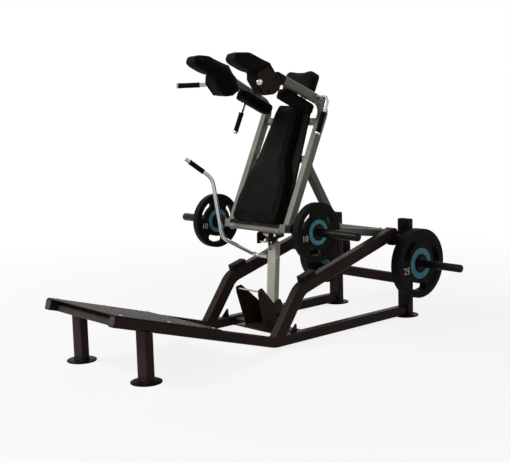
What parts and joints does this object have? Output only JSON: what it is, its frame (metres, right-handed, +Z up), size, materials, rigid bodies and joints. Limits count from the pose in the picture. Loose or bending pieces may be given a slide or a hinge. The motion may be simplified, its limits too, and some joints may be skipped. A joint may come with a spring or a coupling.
{
  "type": "hack squat machine",
  "caption": "Plate-loaded lever squat machine with a sloped foot platform, padded back and shoulder carriage, and storage horns.",
  "frame": {"origin": "middle of the bounding box, on the floor", "axes": "+Z up, front (the foot platform) towards -Y, the user's left towards +X"},
  "size_m": [1.574, 2.5133, 1.7089],
  "materials": {
    "base_paint": "satin dark brown-black",
    "frame_paint": "silver-grey metallic",
    "chrome": "polished",
    "bronze": "plain bearing",
    "cap_plastic": "moulded",
    "pad_vinyl": "grained black vinyl",
    "grip_rubber": "matte",
    "plate_rubber": "matte black with a teal ring"
  },
  "bodies": {
    "base": {"rail_left": "base_paint", "rail_right": "base_paint", "upright_left": "base_paint", "upright_right": "base_paint", "base_end_caps": "cap_plastic", "rear_crossmember": "base_paint", "floor_crossmember": "base_paint", "stay_left": "base_paint", "stay_right": "base_paint", "pivot_housings": "base_paint", "pivot_bushes": "bronze", "bumpers": "grip_rubber", "feet": "grip_rubber", "leg_left": "base_paint", "leg_right": "base_paint", "platform_plate": "base_paint", "platform_crossbar": "cap_plastic", "platform_bolts": "chrome", "storage_horn_left": "base_paint", "storage_horn_right": "base_paint", "prop_yoke": "base_paint", "stop_rod": "chrome", "prop_hinge_pin": "chrome"},
    "carriage": {"lever_arm_left": "frame_paint", "lever_arm_right": "frame_paint", "back_beam_left": "frame_paint", "back_beam_right": "frame_paint", "strut_left": "frame_paint", "strut_right": "frame_paint", "pivot_sleeve": "frame_paint", "pivot_shaft": "chrome", "front_cross_tube": "frame_paint", "lever_crossbar": "frame_paint", "back_crossbars": "frame_paint", "back_board": "cap_plastic", "back_pad": "pad_vinyl", "head_bracket": "frame_paint", "head_pad": "pad_vinyl", "pad_brackets": "frame_paint", "front_pad_left": "pad_vinyl", "front_pad_right": "pad_vinyl", "rear_pad_left": "pad_vinyl", "rear_pad_right": "pad_vinyl", "front_handles": "chrome", "front_grips": "grip_rubber", "rear_handles": "chrome", "rear_grips": "grip_rubber", "handle_caps": "chrome", "loading_horn_left": "base_paint", "loading_horn_right": "base_paint", "catch_bracket": "frame_paint", "catch_roller": "chrome"},
    "prop": {"prop_post": "frame_paint", "prop_head": "frame_paint", "release_handle": "chrome", "release_grip": "grip_rubber"},
    "small_plate_left": {"small_plate_left": "plate_rubber"},
    "small_plate_right": {"small_plate_right": "plate_rubber"},
    "big_plate_left": {"big_plate_left": "plate_rubber"},
    "big_plate_right": {"big_plate_right": "plate_rubber"}
  },
  "joints": [
    {"name": "carriage_lift", "type": "hinge", "parent": "base", "child": "carriage", "pos_m": [0, 0.88665, 0.564], "axis": [-1, 0, 0], "range_deg": [0, 29]},
    {"name": "prop_swing", "type": "hinge", "parent": "base", "child": "prop", "pos_m": [0, 0.12565, 0.12], "axis": [1, 0, 0], "range_deg": [0, 43.5]},
    {"name": "small_plate_left_slide", "type": "slide", "parent": "carriage", "child": "small_plate_left", "axis": [1, 0, 0], "range_m": [0, 0.36]},
    {"name": "small_plate_right_slide", "type": "slide", "parent": "carriage", "child": "small_plate_right", "axis": [-1, 0, 0], "range_m": [0, 0.36]},
    {"name": "big_plate_left_slide", "type": "slide", "parent": "base", "child": "big_plate_left", "axis": [1, 0, 0], "range_m": [0, 0.39]},
    {"name": "big_plate_right_slide", "type": "slide", "parent": "base", "child": "big_plate_right", "axis": [-1, 0, 0], "range_m": [0, 0.39]}
  ],
  "couplings": [
    {"joint": "prop_swing", "follows": "carriage_lift", "ratio": 1.5}
  ]
}
